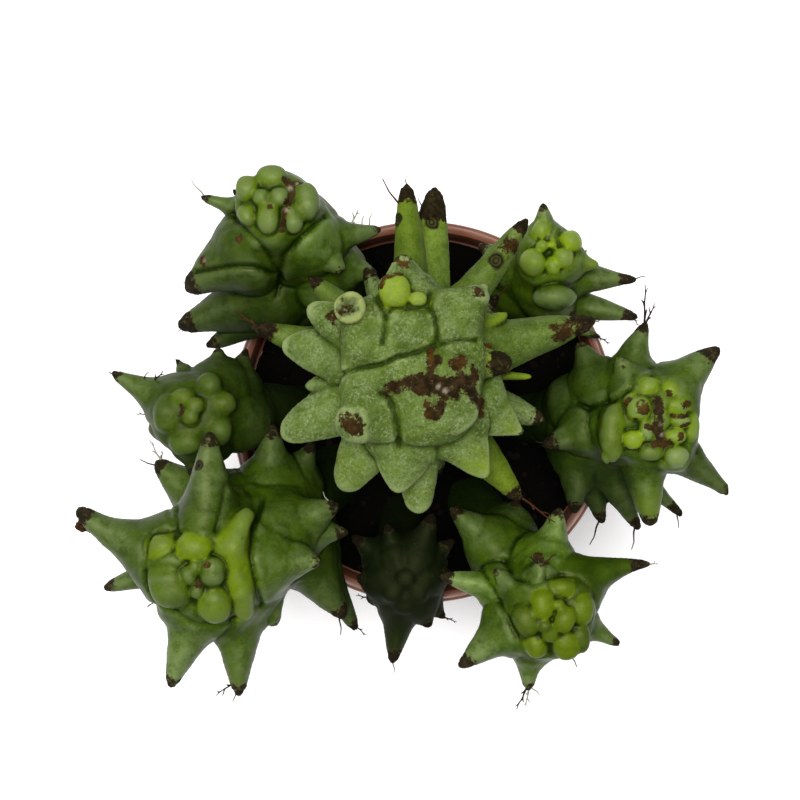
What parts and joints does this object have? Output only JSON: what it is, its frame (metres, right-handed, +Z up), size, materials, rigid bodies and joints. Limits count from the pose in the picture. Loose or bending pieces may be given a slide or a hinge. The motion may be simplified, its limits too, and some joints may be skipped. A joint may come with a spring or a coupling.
{
  "type": "potted monstrose african milk barrel",
  "caption": "Clump of thick, knobby, horned succulent stems with dry flower stalks, growing in dark soil in a round tapered nursery pot that stands on its flat base.",
  "frame": {"origin": "centre of the pot's flat underside", "axes": "+Z up out of the pot, -Y towards the bottom edge of the picture, +X towards its right edge"},
  "size_m": [0.1999, 0.1711, 0.1921],
  "materials": {
    "pot_plastic": "satin terracotta-coloured plastic",
    "potting_mix": "dark loose bark and grit",
    "powdery_skin": "grey-green plant skin with a pale powdery scurf",
    "green_skin": "smooth waxy green plant skin"
  },
  "bodies": {
    "root": {"pot": "pot_plastic", "soil": "potting_mix", "main_stem": "powdery_skin", "right_stem": "green_skin", "upper_right_stem": "green_skin", "upper_left_stem": "green_skin", "left_stem": "green_skin", "lower_left_stem": "green_skin", "lower_right_stem": "green_skin", "bottom_stem": "green_skin"}
  },
  "joints": []
}
